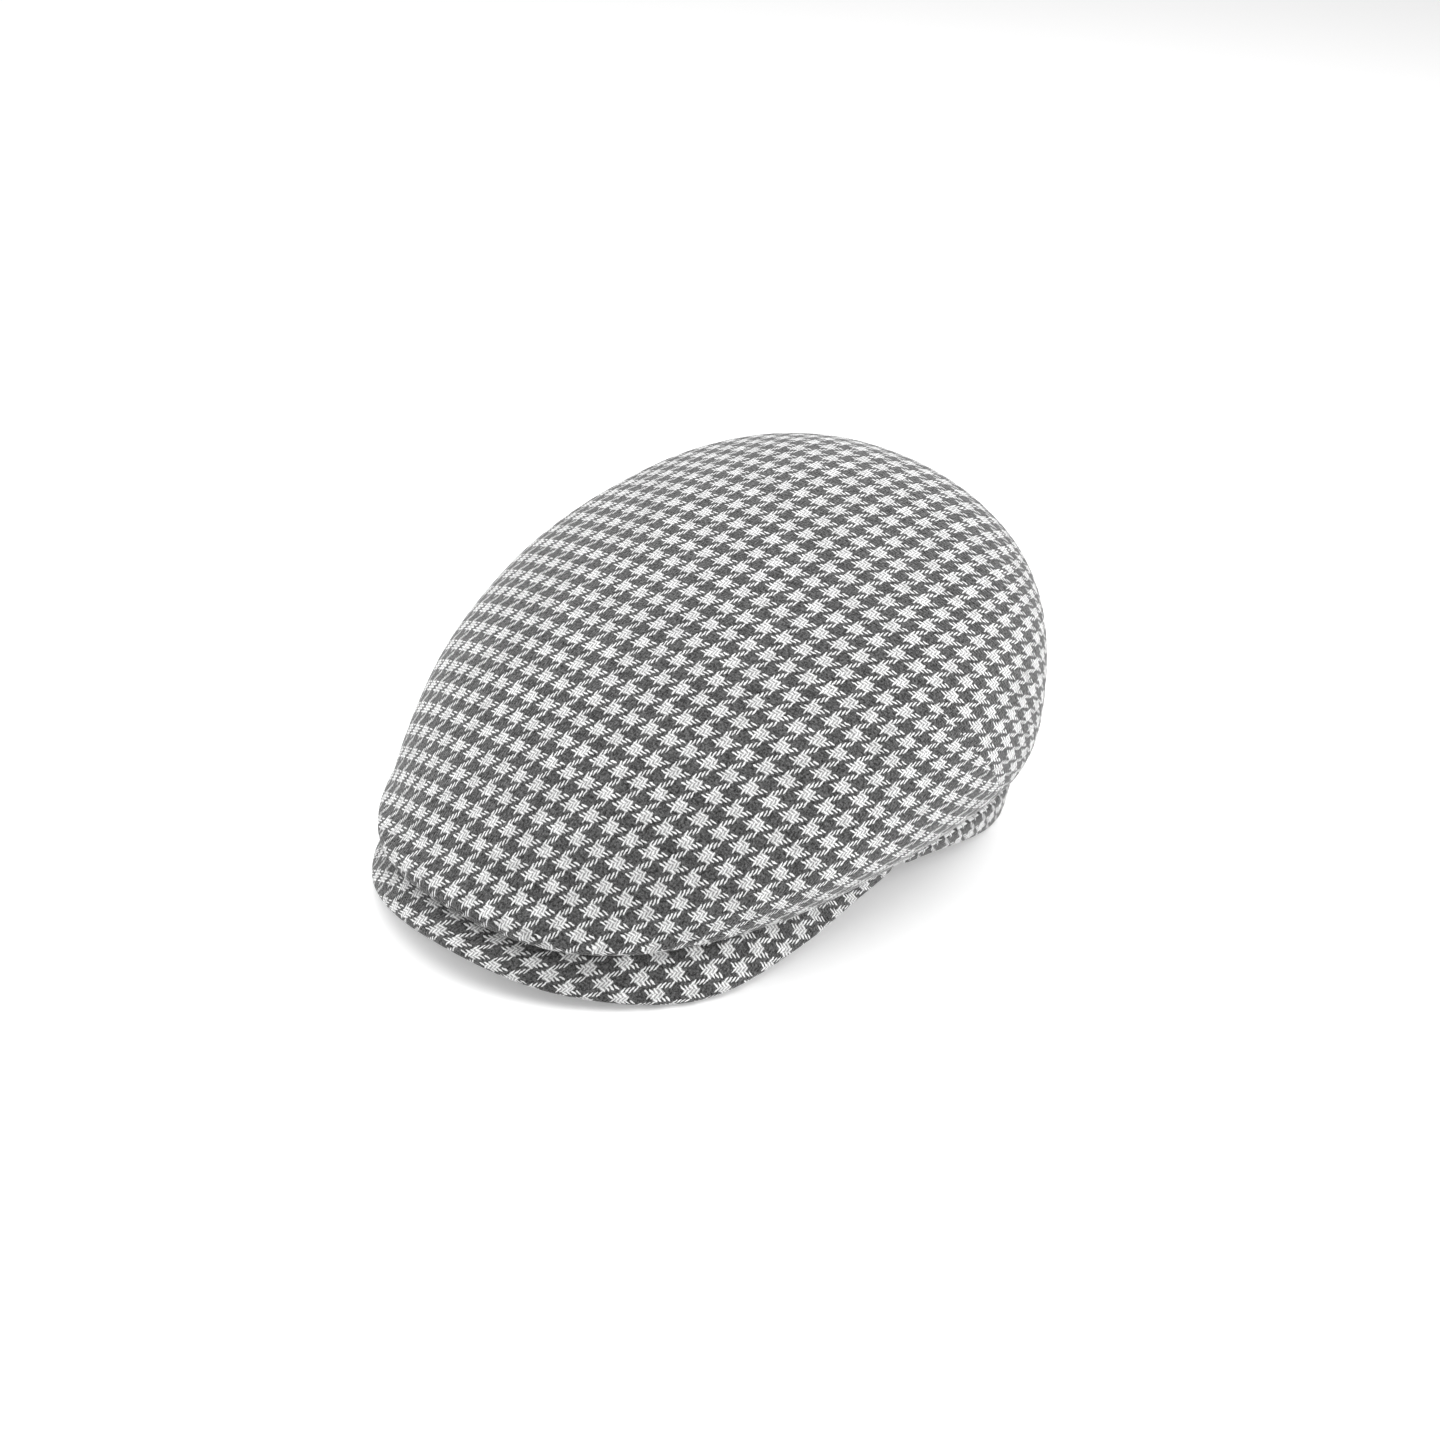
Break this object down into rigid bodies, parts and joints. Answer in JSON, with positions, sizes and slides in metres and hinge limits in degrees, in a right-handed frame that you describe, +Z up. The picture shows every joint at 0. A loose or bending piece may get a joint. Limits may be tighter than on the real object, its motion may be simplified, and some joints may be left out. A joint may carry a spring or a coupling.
{
  "type": "flat cap",
  "caption": "Rounded flat cap in a houndstooth tweed: a full crown with darts at the back corners rolls over a short stiff peak and a low band.",
  "frame": {"origin": "centre of the bounding box at its foot, on the floor the cap stands on", "axes": "+Z up, -Y the way the peak points, +X the wearer's left"},
  "size_m": [0.2088, 0.2618, 0.1312],
  "materials": {
    "tweed": "matte woven wool, light and dark grey houndstooth"
  },
  "bodies": {
    "root": {"crown": "tweed", "peak": "tweed", "band": "tweed"}
  },
  "joints": []
}
